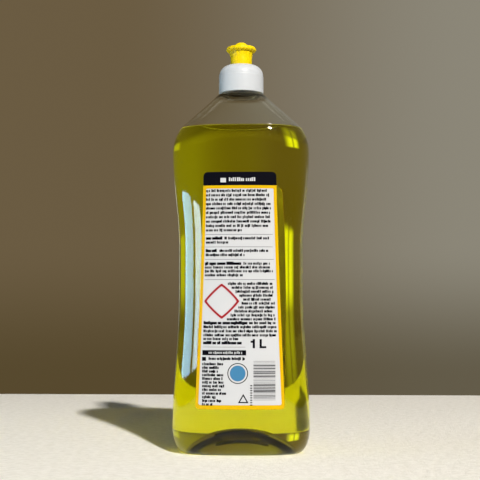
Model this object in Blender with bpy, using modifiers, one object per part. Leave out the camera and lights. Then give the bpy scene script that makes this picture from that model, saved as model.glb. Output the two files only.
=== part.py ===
# Dish soap bottle: a clear blown bottle full of liquid, two paper labels, a screw cap with a
# seal wad, and a push-pull spout that slides on the cap's chimney.
# Metres, +Z up. The origin is under the middle of the standing ring. The back label faces -Y.

import bpy
import math

# Bottle
BASE_HALF_WIDTH = 0.0489
WAIST_HALF_WIDTH = 0.0444
SHOULDER_HALF_WIDTH = 0.0492
BASE_HALF_DEPTH = 0.0295
WAIST_HALF_DEPTH = 0.0286
SHOULDER_HALF_DEPTH = 0.0295
BODY_POWER = 2.8
HEEL_SIDE_INSET = 0.0085
HEEL_FACE_INSET = 0.0100
HEEL_HEIGHT = 0.0180
FOOT_WIDTH = 0.0020
PUSH_UP_HEIGHT = 0.0165
PUSH_UP_POWER = 0.6
WAIST_LOW = 0.1200
WAIST_HIGH = 0.1450
LEDGE_HEIGHT = 0.2568
LEDGE_RADIUS = 0.0160
SHOULDER_RADIUS = 0.0280
CONE_ANGLE = math.radians(42.5)
SHOULDER_TURN = math.pi / 2 - CONE_ANGLE
BASE_CURVE_POWER = 1.3
DEPTH_CURVE_POWER = 0.8
WALL = 0.0007
HEADSPACE = 0.0263
FILL_HEIGHT = LEDGE_HEIGHT - HEADSPACE

# Neck finish
NECK_RADIUS = 0.0126
NECK_BORE_RADIUS = 0.01085
NECK_HEIGHT = 0.0152
NECK_ROOT_FILLET = 0.0012
NECK_FLOOR = 0.0012
NECK_LIP_EDGE = 0.0004
NECK_MOUTH_ROUND = 0.0014
THREAD_DEPTH = 0.0010
THREAD_BASE = 0.0022
THREAD_CREST = 0.0010
THREAD_PITCH = 0.0042
THREAD_TURNS = 1.5
THREAD_START = 0.0040
THREAD_MEET = 0.6

# Labels
LABEL_BOTTOM = 0.0327
LABEL_FLARE_POWER = 1.3
LABEL_THICKNESS = 0.0002
BACK_LABEL_DROP = 0.0600
BACK_LABEL_TOP = LEDGE_HEIGHT - BACK_LABEL_DROP
BACK_LABEL_TOP_HALF_WIDTH = 0.0253
BACK_LABEL_BOTTOM_HALF_WIDTH = 0.0309
BACK_LABEL_CORNER = 0.0030
FRONT_LABEL_DROP = 0.0623
FRONT_LABEL_TOP = LEDGE_HEIGHT - FRONT_LABEL_DROP
FRONT_LABEL_TOP_HALF_WIDTH = 0.0250
FRONT_LABEL_BOTTOM_HALF_WIDTH = 0.0262
FRONT_LABEL_CORNER = 0.0080

# Cap
CAP_RIM_GAP = 0.0004
CAP_RADIUS = 0.01615
CAP_SKIRT_HEIGHT = 0.0128
CAP_SHOULDER_HEIGHT = 0.0080
CAP_INNER_RADIUS = 0.0140
CAP_HOLE_LIP = 0.0005
CAP_EDGE = 0.0004
CAP_THREAD_DEPTH = 0.0011
CAP_THREAD_BASE = 0.0015
CAP_THREAD_CREST = 0.0007
CAP_THREAD_TURNS = 1.25
WELL_WALL = 0.0012
WELL_DEPTH = 0.0115
CHIMNEY_HEIGHT = 0.0200
CHIMNEY_BORE_RADIUS = 0.00465
CHIMNEY_WALL = 0.0012
BEAD_DEPTH = 0.0006
BEAD_HEIGHT = 0.0012
BEAD_DROP = 0.0004
PIN_RADIUS = 0.0017
PIN_TIP_DROP = 0.0008
SPOKE_COUNT = 3
SPOKE_WIDTH = 0.0011
SPOKE_HEIGHT = 0.0036
SPOKE_DROP = 0.0032
PIN_FOOT_DROP = 0.0070

# Seal wad
WAD_THICKNESS = 0.0010

# Spout
STEM_RADIUS = 0.0078
STEM_WALL = 0.0010
SPOUT_TRAVEL = 0.0060
STEM_CHAMFER = 0.0003
FLARE_START = 0.0162
FLARE_HEIGHT = 0.0066
FLARE_RADIUS = 0.01095
FLARE_CURVE_POWER = 1.7
FLARE_LIP_DEPTH = 0.0012
FLARE_LIP_DROP = 0.0014
FLARE_LIP_RISE = 0.0021
FLUTE_COUNT = 16
FLUTE_DEPTH = 0.0004
DOME_RADIUS = 0.0047
DOME_FOOT_RISE = 0.0029
DOME_HEIGHT = 0.0028
ORIFICE_LAND = 0.0018
HEAD_WALL = 0.0022
RING_HEIGHT = 0.0015

# Fits
GAP = 0.0003
THREAD_CLEARANCE = 0.0003
EMBED = 0.0004

# Facets
PLAN_STEPS = 36
CAP_STEPS = 40
SPOUT_STEPS = 64
THREAD_STEPS = 36
THREAD_RUN_OUT_STEPS = 3
LABEL_COLUMNS = 10
LABEL_ROWS = 8
PIN_STEPS = 16

PLASTIC_COLOURS = {
    "clear_pet": (0.86, 0.90, 0.84, 0.25),
    "soap": (0.50, 0.46, 0.01, 0.85),
    "white_cap": (0.82, 0.84, 0.84, 1.0),
    "yellow_spout": (0.95, 0.72, 0.02, 1.0),
    "label_film": (0.76, 0.76, 0.78, 1.0),
    "wad_foam": (0.88, 0.88, 0.85, 1.0),
}


def clear_scene():
    for item in list(bpy.data.objects):
        bpy.data.objects.remove(item, do_unlink=True)


def new_collection(name):
    made = bpy.data.collections.new(name)
    bpy.context.scene.collection.children.link(made)
    return made


def material(name, roughness, transmission=0.0):
    """A Principled plastic in the colour kept for the name."""
    made = bpy.data.materials.new(name)
    made.use_nodes = True
    shader = made.node_tree.nodes["Principled BSDF"]
    colour = PLASTIC_COLOURS[name]
    shader.inputs["Base Color"].default_value = (*colour[:3], 1.0)
    shader.inputs["Alpha"].default_value = colour[3]
    shader.inputs["Roughness"].default_value = roughness
    shader.inputs["Metallic"].default_value = 0.0
    shader.inputs["Transmission Weight"].default_value = transmission
    return made


def new_object(name, points, faces, collection, look=None):
    mesh = bpy.data.meshes.new(name)
    mesh.from_pydata(points, [], faces)
    mesh.update()
    made = bpy.data.objects.new(name, mesh)
    collection.objects.link(made)
    if look is not None:
        mesh.materials.append(look)
    return made


def shade_round(thing, angle=math.radians(35.0)):
    thing.data.shade_smooth()
    thing.data.set_sharp_from_angle(angle=angle)


def arc(centre, radii, start, end, steps):
    """Points (r, z) on an ellipse arc between two angles in degrees, both ends included."""
    points = []
    for i in range(steps + 1):
        angle = math.radians(start + (end - start) * i / steps)
        points.append((centre[0] + radii[0] * math.cos(angle), centre[1] + radii[1] * math.sin(angle)))
    return points


def turned(name, profile, collection, look=None, steps=CAP_STEPS):
    """A closed profile of (r, z) points, run down its outer side, turned about Z."""
    points = [(r, 0.0, z) for r, z in profile]
    edges = [(i, (i + 1) % len(points)) for i in range(len(points))]
    mesh = bpy.data.meshes.new(name)
    mesh.from_pydata(points, edges, [])
    made = bpy.data.objects.new(name, mesh)
    collection.objects.link(made)
    if look is not None:
        mesh.materials.append(look)
    screw = made.modifiers.new("Turn", "SCREW")
    screw.steps = steps
    screw.render_steps = steps
    screw.use_merge_vertices = True
    screw.merge_threshold = 0.000001
    screw.use_smooth_shade = True
    return made


def unite(target, tool):
    joined = target.modifiers.new(tool.name, "BOOLEAN")
    joined.operation = "UNION"
    joined.solver = "EXACT"
    joined.object = tool


def as_tool(thing):
    thing.hide_render = True
    thing.display_type = "WIRE"
    return thing


# Bottle form: one outline for the front, one for the side, a superellipse in plan

def ease(t):
    t = min(max(t, 0.0), 1.0)
    return t * t * (3.0 - 2.0 * t)


def shoulder_arc(angle):
    """Half width on the shoulder's round, and the rise from its start, after a turn."""
    return SHOULDER_HALF_WIDTH - SHOULDER_RADIUS * (1.0 - math.cos(angle)), SHOULDER_RADIUS * math.sin(angle)


def shoulder_start():
    """Height where the shoulder's arc leaves the wall, so that the cone meets the ledge."""
    width, rise = shoulder_arc(SHOULDER_TURN)
    return LEDGE_HEIGHT - (width - LEDGE_RADIUS) * math.tan(CONE_ANGLE) - rise


def wall_size(z, base, waist, shoulder):
    """Half size of the body at a height: a full base, a long waist and a full shoulder."""
    if z < WAIST_LOW:
        rest = (WAIST_LOW - z) / (WAIST_LOW - HEEL_HEIGHT)
        return waist + (base - waist) * ease(rest) ** BASE_CURVE_POWER
    return waist + (shoulder - waist) * ease((z - WAIST_HIGH) / (shoulder_start() - WAIST_HIGH))


def body_station(z):
    """A station is half width, half depth, plan power, height and the wall's tilt."""
    width = wall_size(z, BASE_HALF_WIDTH, WAIST_HALF_WIDTH, SHOULDER_HALF_WIDTH)
    depth = wall_size(z, BASE_HALF_DEPTH, WAIST_HALF_DEPTH, SHOULDER_HALF_DEPTH)
    return (width, depth, BODY_POWER, z, 0.0)


def shoulder_station(width, z, tilt):
    """The plan goes from the body's rounded oblong to the neck's circle."""
    share = (width - LEDGE_RADIUS) / (SHOULDER_HALF_WIDTH - LEDGE_RADIUS)
    depth = LEDGE_RADIUS + (SHOULDER_HALF_DEPTH - LEDGE_RADIUS) * share ** DEPTH_CURVE_POWER
    return (width, depth, 2.0 + (BODY_POWER - 2.0) * share, z, tilt)


def body_stations():
    """Stations up the outer wall, from the heel's top to the ledge."""
    start = shoulder_start()
    stations = []
    for i in range(1, 6):
        stations.append(body_station(HEEL_HEIGHT + (WAIST_LOW - HEEL_HEIGHT) * i / 6))
    stations.append(body_station(WAIST_LOW))
    for i in range(5):
        stations.append(body_station(WAIST_HIGH + (start - WAIST_HIGH) * i / 5))
    for i in range(7):
        angle = SHOULDER_TURN * i / 6
        width, rise = shoulder_arc(angle)
        stations.append(shoulder_station(width, start + rise, angle))
    for i in range(1, 4):
        at = width + (LEDGE_RADIUS - width) * i / 3
        z = LEDGE_HEIGHT - (at - LEDGE_RADIUS) * math.tan(CONE_ANGLE)
        stations.append(shoulder_station(at, z, SHOULDER_TURN))
    return stations


def push_up_station(share):
    """The push-up is a low arch, H (1 - share^2)^p high, whose flank stands steeply on the foot."""
    half_width = BASE_HALF_WIDTH - HEEL_SIDE_INSET - FOOT_WIDTH
    half_depth = BASE_HALF_DEPTH - HEEL_FACE_INSET - FOOT_WIDTH
    left = 1.0 - share * share
    z = PUSH_UP_HEIGHT * left ** PUSH_UP_POWER
    fall = 2.0 * share * PUSH_UP_POWER * z / left
    slope = math.atan2(fall, (half_width + half_depth) / 2)
    return (half_width * share, half_depth * share, BODY_POWER, z, -math.pi / 2 - slope)


def base_stations():
    """Stations from the middle of the push-up, over its edge and the foot, to the heel's top."""
    stations = [push_up_station(share) for share in (0.25, 0.5, 0.75, 0.9, 0.97)]
    foot_tilt = (stations[-1][4] - math.pi / 2) / 2
    foot_width = BASE_HALF_WIDTH - HEEL_SIDE_INSET - FOOT_WIDTH
    foot_depth = BASE_HALF_DEPTH - HEEL_FACE_INSET - FOOT_WIDTH
    stations.append((foot_width, foot_depth, BODY_POWER, 0.0, foot_tilt))
    mean_inset = (HEEL_SIDE_INSET + HEEL_FACE_INSET) / 2
    for i in range(6):
        angle = -math.pi / 2 + math.pi / 2 * i / 5
        width = BASE_HALF_WIDTH - HEEL_SIDE_INSET * (1.0 - math.cos(angle))
        depth = BASE_HALF_DEPTH - HEEL_FACE_INSET * (1.0 - math.cos(angle))
        z = HEEL_HEIGHT * (1.0 + math.sin(angle))
        tilt = math.atan2(math.sin(angle) / HEEL_HEIGHT, math.cos(angle) / mean_inset)
        stations.append((width, depth, BODY_POWER, z, tilt))
    return stations


def inset_station(station, inset):
    width, depth, power, z, tilt = station
    flat = inset * math.cos(tilt)
    return (width - flat, depth - flat, power, z - inset * math.sin(tilt), tilt)


def ring_of(station, steps=PLAN_STEPS):
    """Points round a superellipse |x/a|^p + |y/b|^p = 1 at the station's height."""
    width, depth, power, z, _ = station
    points = []
    for i in range(steps):
        angle = 2.0 * math.pi * i / steps
        c = math.cos(angle)
        s = math.sin(angle)
        x = math.copysign(width * abs(c) ** (2.0 / power), c)
        y = math.copysign(depth * abs(s) ** (2.0 / power), s)
        points.append((x, y, z))
    return points


def round_station(r, z):
    return (r, r, 2.0, z, 0.0)


def loft(name, rings, collection, look, start_pole=None, end_pole=None):
    """Skins rings of equal length in order; a pole closes an end, no poles join end to end."""
    steps = len(rings[0])
    points = [point for ring in rings for point in ring]
    count = len(rings)
    last = count - 1 if start_pole else count
    faces = []
    for k in range(last):
        low = k * steps
        high = ((k + 1) % count) * steps
        for i in range(steps):
            j = (i + 1) % steps
            faces.append((low + i, low + j, high + j, high + i))
    if start_pole:
        points.append(start_pole)
        pole = len(points) - 1
        faces += [(pole, (i + 1) % steps, i) for i in range(steps)]
    if end_pole:
        points.append(end_pole)
        pole = len(points) - 1
        top = (count - 1) * steps
        faces += [(pole, top + i, top + (i + 1) % steps) for i in range(steps)]
    return new_object(name, points, faces, collection, look)


def helix_ridge(name, root, crest, base, tip, start, turns, start_angle, collection):
    """A trapezoid thread ridge wound right-handed; its ends run out into the wall."""
    side = 1.0 if crest > root else -1.0
    count = round(turns * THREAD_STEPS)
    points = []
    for i in range(count + 1):
        share = min(i / THREAD_RUN_OUT_STEPS, (count - i) / THREAD_RUN_OUT_STEPS, 1.0)
        angle = start_angle + 2.0 * math.pi * i / THREAD_STEPS
        z = start + THREAD_PITCH * i / THREAD_STEPS
        inner = root - side * EMBED
        low = root - side * EMBED / 2
        outer = low + (crest - low) * share
        for r, half in ((inner, base / 2), (inner, -base / 2), (outer, -tip / 2), (outer, tip / 2)):
            points.append((r * math.cos(angle), r * math.sin(angle), z + half))
    faces = [(0, 1, 2, 3)]
    for k in range(count):
        for i in range(4):
            j = (i + 1) % 4
            faces.append((k * 4 + i, k * 4 + 4 + i, k * 4 + 4 + j, k * 4 + j))
    end = count * 4
    faces.append((end + 3, end + 2, end + 1, end))
    if side < 0.0:
        faces = [tuple(reversed(face)) for face in faces]
    return as_tool(new_object(name, points, faces, collection))


def neck_rings():
    """The ledge, the neck's root fillet, its outer wall and rounded lip, then down the bore."""
    lip = LEDGE_HEIGHT + NECK_HEIGHT
    floor = LEDGE_HEIGHT - NECK_FLOOR
    profile = arc((NECK_RADIUS + NECK_ROOT_FILLET, LEDGE_HEIGHT + NECK_ROOT_FILLET),
                  (NECK_ROOT_FILLET, NECK_ROOT_FILLET), 270.0, 180.0, 2)
    profile += [(NECK_RADIUS, lip - NECK_LIP_EDGE), (NECK_RADIUS - NECK_LIP_EDGE, lip)]
    profile += [(NECK_BORE_RADIUS, lip)]
    profile += arc((NECK_BORE_RADIUS + NECK_MOUTH_ROUND, floor + NECK_MOUTH_ROUND),
                   (NECK_MOUTH_ROUND, NECK_MOUTH_ROUND), 180.0, 270.0, 3)
    return [ring_of(round_station(r, z)) for r, z in profile]


def make_bottle(parts, tools, look):
    outer = base_stations() + body_stations()
    inner = [inset_station(station, WALL) for station in outer]
    floor = LEDGE_HEIGHT - NECK_FLOOR
    inner_cone = [station for station in inner if station[3] < floor - WALL]
    rings = [ring_of(station) for station in outer]
    rings += neck_rings()
    rings.append(ring_of(round_station(LEDGE_RADIUS - WALL, floor)))
    rings += [ring_of(station) for station in reversed(inner_cone)]
    start_pole = (0.0, 0.0, PUSH_UP_HEIGHT)
    end_pole = (0.0, 0.0, PUSH_UP_HEIGHT + WALL)
    bottle = loft("bottle", rings, parts, look, start_pole, end_pole)
    thread = helix_ridge("neck_thread_form", NECK_RADIUS, NECK_RADIUS + THREAD_DEPTH, THREAD_BASE,
                         THREAD_CREST, LEDGE_HEIGHT + THREAD_START, THREAD_TURNS, 0.0, tools)
    unite(bottle, thread)
    shade_round(bottle)
    return bottle


def make_liquid(parts, look):
    """The soap fills the bottle to its level, one gap inside the wall."""
    inset = WALL + GAP
    stations = [inset_station(station, inset) for station in base_stations() + body_stations()]
    wet = [station for station in stations if station[3] < FILL_HEIGHT]
    above = stations[len(wet)]
    share = (FILL_HEIGHT - wet[-1][3]) / (above[3] - wet[-1][3])
    level = tuple(a + (b - a) * share for a, b in zip(wet[-1], above))
    rings = [ring_of(station) for station in wet + [level]]
    start_pole = (0.0, 0.0, PUSH_UP_HEIGHT + inset)
    liquid = loft("liquid_fill", rings, parts, look, start_pole, (0.0, 0.0, FILL_HEIGHT))
    shade_round(liquid)
    return liquid


def make_label(name, side, top, top_half, bottom_half, corner, parts, look):
    """A film bent round the wall: its side edges spread downwards and its corners are round."""
    heights = []
    corner_cuts = [corner * (1.0 - math.cos(math.radians(30.0 * i))) for i in range(4)]
    heights += [LABEL_BOTTOM + cut for cut in corner_cuts]
    low = LABEL_BOTTOM + corner
    high = top - corner
    heights += [low + (high - low) * i / LABEL_ROWS for i in range(1, LABEL_ROWS)]
    heights += [top - cut for cut in reversed(corner_cuts)]
    points = []
    for z in heights:
        spread = min(max((top - z) / (top - LABEL_BOTTOM), 0.0), 1.0) ** LABEL_FLARE_POWER
        half = top_half + (bottom_half - top_half) * spread
        near = min(z - LABEL_BOTTOM, top - z)
        if near < corner:
            half += math.sqrt(max(corner ** 2 - (corner - near) ** 2, 0.0)) - corner
        width, depth, power, _, _ = body_station(z)
        for i in range(LABEL_COLUMNS + 1):
            x = half * (2.0 * i / LABEL_COLUMNS - 1.0)
            y = depth * (1.0 - abs(x / width) ** power) ** (1.0 / power)
            normal_x = math.copysign(abs(x / width) ** (power - 1.0) / width, x)
            normal_y = (y / depth) ** (power - 1.0) / depth
            size = math.hypot(normal_x, normal_y)
            points.append((x + GAP * normal_x / size, side * (y + GAP * normal_y / size), z))
    row = LABEL_COLUMNS + 1
    faces = []
    for k in range(len(heights) - 1):
        for i in range(LABEL_COLUMNS):
            a = k * row + i
            face = (a, a + row, a + row + 1, a + 1)
            faces.append(face if side > 0.0 else tuple(reversed(face)))
    label = new_object(name, points, faces, parts, look)
    film = label.modifiers.new("Film", "SOLIDIFY")
    film.thickness = LABEL_THICKNESS
    film.offset = 1.0
    shade_round(label)
    return label


def cap_sizes():
    """Heights in the cap's own frame, whose zero is its rim."""
    seat = LEDGE_HEIGHT + CAP_RIM_GAP
    lip = LEDGE_HEIGHT + NECK_HEIGHT - seat
    roof = lip + GAP + WAD_THICKNESS + GAP
    top = CAP_SKIRT_HEIGHT + CAP_SHOULDER_HEIGHT
    floor = top - WELL_DEPTH
    return seat, lip, roof, top, floor


def cap_profile():
    _, _, roof, top, floor = cap_sizes()
    hole = STEM_RADIUS + GAP
    well_outer = hole + WELL_WALL
    crown = hole + CAP_HOLE_LIP
    chimney = CHIMNEY_BORE_RADIUS + CHIMNEY_WALL
    chimney_top = floor + CHIMNEY_HEIGHT
    bead = chimney + BEAD_DEPTH
    bead_top = chimney_top - BEAD_DROP
    profile = [(hole, top)]
    profile += arc((crown, CAP_SKIRT_HEIGHT), (CAP_RADIUS - crown, CAP_SHOULDER_HEIGHT), 90.0, 0.0, 8)
    profile += [(CAP_RADIUS, CAP_EDGE), (CAP_RADIUS - CAP_EDGE, 0.0)]
    profile += [(CAP_INNER_RADIUS + CAP_EDGE, 0.0), (CAP_INNER_RADIUS, CAP_EDGE)]
    profile += [(CAP_INNER_RADIUS, roof), (well_outer, roof), (well_outer, floor - WELL_WALL)]
    profile += [(CHIMNEY_BORE_RADIUS, floor - WELL_WALL), (CHIMNEY_BORE_RADIUS, chimney_top)]
    profile += [(chimney, chimney_top), (bead, bead_top), (bead, bead_top - BEAD_HEIGHT)]
    profile += [(chimney, bead_top - BEAD_HEIGHT), (chimney, floor), (hole, floor)]
    return profile


def pin_profile():
    """The pin's tip stands in the spout's orifice when the spout is down."""
    _, _, _, _, floor = cap_sizes()
    chimney_top = floor + CHIMNEY_HEIGHT
    tip = floor + GAP + spout_top() - PIN_TIP_DROP
    foot = chimney_top - PIN_FOOT_DROP
    edge = CAP_EDGE
    return [(0.0, tip), (PIN_RADIUS - edge, tip), (PIN_RADIUS, tip - edge), (PIN_RADIUS, foot), (0.0, foot)]


def make_pin(tools):
    points = [(r, 0.0, z) for r, z in pin_profile()]
    mesh = bpy.data.meshes.new("pin_form")
    mesh.from_pydata(points, [(i, i + 1) for i in range(len(points) - 1)], [])
    pin = bpy.data.objects.new("pin_form", mesh)
    tools.objects.link(pin)
    screw = pin.modifiers.new("Turn", "SCREW")
    screw.steps = PIN_STEPS
    screw.render_steps = PIN_STEPS
    screw.use_merge_vertices = True
    screw.merge_threshold = 0.000001
    return as_tool(pin)


def make_spoke(index, tools):
    _, _, _, _, floor = cap_sizes()
    length = CHIMNEY_BORE_RADIUS + EMBED
    middle = floor + CHIMNEY_HEIGHT - SPOKE_DROP - SPOKE_HEIGHT / 2
    angle = 2.0 * math.pi * index / SPOKE_COUNT + math.radians(30.0)
    bpy.ops.mesh.primitive_cube_add(size=1.0)
    spoke = bpy.context.object
    spoke.name = f"spoke_form_{index + 1}"
    for holder in list(spoke.users_collection):
        holder.objects.unlink(spoke)
    tools.objects.link(spoke)
    inner = PIN_RADIUS / 2
    for vertex in spoke.data.vertices:
        vertex.co.x = inner + (vertex.co.x + 0.5) * (length - inner)
        vertex.co.y *= SPOKE_WIDTH
        vertex.co.z = middle + vertex.co.z * SPOKE_HEIGHT
    spoke.rotation_euler.z = angle
    return as_tool(spoke)


def make_cap(parts, tools, look):
    seat, _, _, _, _ = cap_sizes()
    cap = turned("cap", cap_profile(), parts, look)
    mid = NECK_RADIUS + THREAD_MEET * THREAD_DEPTH
    neck_half = (THREAD_BASE - THREAD_MEET * (THREAD_BASE - THREAD_CREST)) / 2
    cap_share = (CAP_INNER_RADIUS - mid) / CAP_THREAD_DEPTH
    cap_half = (CAP_THREAD_BASE - cap_share * (CAP_THREAD_BASE - CAP_THREAD_CREST)) / 2
    skipped = THREAD_TURNS - CAP_THREAD_TURNS
    start = LEDGE_HEIGHT + THREAD_START + skipped * THREAD_PITCH - neck_half - cap_half - THREAD_CLEARANCE
    thread = helix_ridge("cap_thread_form", CAP_INNER_RADIUS, CAP_INNER_RADIUS - CAP_THREAD_DEPTH,
                         CAP_THREAD_BASE, CAP_THREAD_CREST, start - seat, CAP_THREAD_TURNS,
                         2.0 * math.pi * skipped, tools)
    forms = [thread, make_pin(tools)]
    forms += [make_spoke(i, tools) for i in range(SPOKE_COUNT)]
    for form in forms:
        unite(cap, form)
        form.parent = cap
    cap.location.z = seat
    return cap


def make_wad(parts, look):
    """A flat ring between the neck's lip and the cap's roof, round the well."""
    inner = STEM_RADIUS + GAP + WELL_WALL + GAP
    outer = CAP_INNER_RADIUS - GAP
    profile = [(inner, WAD_THICKNESS), (outer, WAD_THICKNESS), (outer, 0.0), (inner, 0.0)]
    wad = turned("seal_wad", profile, parts, look)
    wad.location.z = LEDGE_HEIGHT + NECK_HEIGHT + GAP
    return wad


def dome_end():
    """The angle in degrees at which the dome's round meets the orifice."""
    return math.degrees(math.acos((PIN_RADIUS + GAP) / DOME_RADIUS))


def spout_top():
    rise = DOME_FOOT_RISE + DOME_HEIGHT * math.sin(math.radians(dome_end()))
    return FLARE_START + FLARE_HEIGHT + rise


def spout_stations():
    """(radius, height, flute depth) from the stem's foot up the outside and down the bore."""
    rim = FLARE_START + FLARE_HEIGHT
    bore = STEM_RADIUS - STEM_WALL
    orifice = PIN_RADIUS + GAP
    bead_bottom = CHIMNEY_HEIGHT - GAP - BEAD_DROP - BEAD_HEIGHT
    ring_top = bead_bottom - SPOUT_TRAVEL - GAP
    ring_radius = CHIMNEY_BORE_RADIUS + CHIMNEY_WALL + GAP
    stations = [(STEM_RADIUS - STEM_CHAMFER, 0.0, 0.0), (STEM_RADIUS, STEM_CHAMFER, 0.0)]
    stations.append((STEM_RADIUS, FLARE_START, 0.0))
    lip = FLARE_RADIUS - FLARE_LIP_DEPTH
    for share in (0.35, 0.65, 0.88):
        r = STEM_RADIUS + (lip - STEM_RADIUS) * share ** FLARE_CURVE_POWER
        stations.append((r, FLARE_START + (FLARE_HEIGHT - FLARE_LIP_DROP) * share, FLUTE_DEPTH * share))
    under = arc((lip, rim), (FLARE_LIP_DEPTH, FLARE_LIP_DROP), -60.0, 0.0, 2)
    over = arc((lip, rim), (FLARE_LIP_DEPTH, FLARE_LIP_RISE), 30.0, 90.0, 2)
    stations += [(r, z, FLUTE_DEPTH) for r, z in under]
    stations += [(r, z, FLUTE_DEPTH * (rim + FLARE_LIP_RISE - z) / FLARE_LIP_RISE) for r, z in over]
    stations.append((DOME_RADIUS, rim + DOME_FOOT_RISE, 0.0))
    dome = arc((0.0, rim + DOME_FOOT_RISE), (DOME_RADIUS, DOME_HEIGHT), 0.0, dome_end(), 4)
    stations += [(r, z, 0.0) for r, z in dome[1:]]
    top = spout_top()
    stations.append((orifice, top - ORIFICE_LAND, 0.0))
    stations.append((DOME_RADIUS - HEAD_WALL / 2, rim + DOME_FOOT_RISE - HEAD_WALL / 2, 0.0))
    stations.append((bore, rim + FLARE_LIP_RISE - HEAD_WALL, 0.0))
    stations.append((bore, ring_top, 0.0))
    stations.append((ring_radius, ring_top, 0.0))
    stations.append((ring_radius, ring_top - RING_HEIGHT / 2, 0.0))
    stations.append((bore, ring_top - RING_HEIGHT, 0.0))
    stations.append((bore, 0.0, 0.0))
    return stations


def make_spout(parts, look):
    rings = []
    for radius, z, depth in spout_stations():
        ring = []
        for i in range(SPOUT_STEPS):
            angle = 2.0 * math.pi * i / SPOUT_STEPS
            r = radius - depth * (0.5 - 0.5 * math.cos(FLUTE_COUNT * angle))
            ring.append((r * math.cos(angle), r * math.sin(angle), z))
        rings.append(ring)
    spout = loft("spout", rings, parts, look)
    shade_round(spout)
    return spout


def build():
    clear_scene()
    parts = new_collection("dish_soap_bottle")
    tools = new_collection("cutters")
    make_bottle(parts, tools, material("clear_pet", 0.05, 0.9))
    make_liquid(parts, material("soap", 0.05, 0.8))
    film = material("label_film", 0.35)
    make_label("back_label", -1.0, BACK_LABEL_TOP, BACK_LABEL_TOP_HALF_WIDTH,
               BACK_LABEL_BOTTOM_HALF_WIDTH, BACK_LABEL_CORNER, parts, film)
    make_label("front_label", 1.0, FRONT_LABEL_TOP, FRONT_LABEL_TOP_HALF_WIDTH,
               FRONT_LABEL_BOTTOM_HALF_WIDTH, FRONT_LABEL_CORNER, parts, film)
    make_wad(parts, material("wad_foam", 0.8))
    cap = make_cap(parts, tools, material("white_cap", 0.4))
    spout = make_spout(parts, material("yellow_spout", 0.35))
    spout.parent = cap
    spout.location.z = cap_sizes()[4] + GAP


build()
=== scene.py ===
# %% [markdown]
# A dish soap bottle, dressed around its frame, which holds the bottle, the soap, two labels, the
# seal, the cap and the spout at their real sizes. The looks are a clear blown wall with soap
# behind it, printed films, and two moulded plastics for the closure.

# %% Load the frame
import math

import bpy
import numpy as np
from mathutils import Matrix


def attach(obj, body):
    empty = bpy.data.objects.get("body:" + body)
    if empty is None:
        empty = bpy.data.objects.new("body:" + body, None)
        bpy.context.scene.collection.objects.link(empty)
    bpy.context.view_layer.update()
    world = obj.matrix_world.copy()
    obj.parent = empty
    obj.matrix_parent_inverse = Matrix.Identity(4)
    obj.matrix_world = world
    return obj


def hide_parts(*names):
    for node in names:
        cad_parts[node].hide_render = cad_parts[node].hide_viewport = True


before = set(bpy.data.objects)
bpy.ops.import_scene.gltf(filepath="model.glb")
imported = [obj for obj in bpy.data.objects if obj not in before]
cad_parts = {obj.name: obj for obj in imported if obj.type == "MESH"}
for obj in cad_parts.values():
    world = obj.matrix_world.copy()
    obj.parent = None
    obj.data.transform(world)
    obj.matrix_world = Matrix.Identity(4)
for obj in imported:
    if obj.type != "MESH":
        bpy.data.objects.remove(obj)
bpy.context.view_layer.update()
MM = 0.001

# %% [markdown]
# Each new piece is a grid of points, worked out as whole arrays and joined by four-cornered faces.
# A grid may close on itself, as a turned wall does, or end in a pole, as a base does.

# %% Grid surfaces
def add_object(name, data):
    """Puts a mesh, a lamp or a camera into the scene."""
    made = bpy.data.objects.new(name, data)
    bpy.context.scene.collection.objects.link(made)
    return made


def mesh_piece(name, points, faces, flip):
    """A piece from points and faces. flip turns the faces over."""
    if flip:
        faces = [face[::-1] for face in faces]
    mesh = bpy.data.meshes.new(name)
    mesh.from_pydata(points.tolist(), [], faces)
    print(name, len(faces), "faces")
    return add_object(name, mesh)


def grid_mesh(name, grid, closed=True, looped=False, poles=(None, None), lids=False, flip=False):
    """Joins rows of points. closed joins each row's ends, looped the last row to the first. A
    pole is one point that closes the grid past its first or last row. lids close a flat band by
    joining the two halves of its first and of its last row."""
    rows, columns, _ = grid.shape
    index = np.arange(rows * columns).reshape(rows, columns)
    if closed:
        index = np.hstack([index, index[:, :1]])
    if looped:
        index = np.vstack([index, index[:1]])
    corners = [index[:-1, :-1], index[:-1, 1:], index[1:, 1:], index[1:, :-1]]
    quads = np.stack(corners, axis=-1).reshape(-1, 4)
    points = grid.reshape(-1, 3)
    fans = []
    for pole, near, far in ((poles[0], index[0, 1:], index[0, :-1]),
                            (poles[1], index[-1, :-1], index[-1, 1:])):
        if pole is not None:
            tip = np.full(len(near), len(points))
            fans.append(np.stack([tip, near, far], axis=-1))
            points = np.vstack([points, pole])
    if lids:
        for row in (index[0, -2::-1], index[-1, :-1]):
            near, far = row[:columns // 2], row[columns // 2:][::-1]
            fans.append(np.stack([near[:-1], near[1:], far[1:], far[:-1]], axis=-1))
    faces = quads.tolist() + [fan for part in fans for fan in part.tolist()]
    piece = mesh_piece(name, points, faces, flip)
    piece.data.shade_smooth()
    return piece


def seat(piece, look, body, slot, *nodes):
    """Gives a piece its finish, its body and the nodes that it stands for. slot is not used."""
    piece.data.materials.append(look)
    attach(piece, body)
    if nodes:
        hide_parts(*nodes)


def second_look(piece, look, mask):
    """Gives the faces of a mask another finish."""
    piece.data.materials.append(look)
    piece.data.polygons.foreach_set("material_index", mask.astype(np.int32))


def full_turn(count):
    """Angles round a circle, evenly spaced."""
    return np.linspace(0.0, 2.0 * math.pi, count, endpoint=False)


def points_of(x, y, z):
    """Points from x, y and z, each a grid or one row or column of it."""
    return np.stack(np.broadcast_arrays(x, y, z), axis=-1)


# %% [markdown]
# A finish is a tree of shader nodes. A small class wraps a socket, so that sums on masks read as
# arithmetic, and one method makes any other node. The backdrop is such a tree too.

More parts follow.
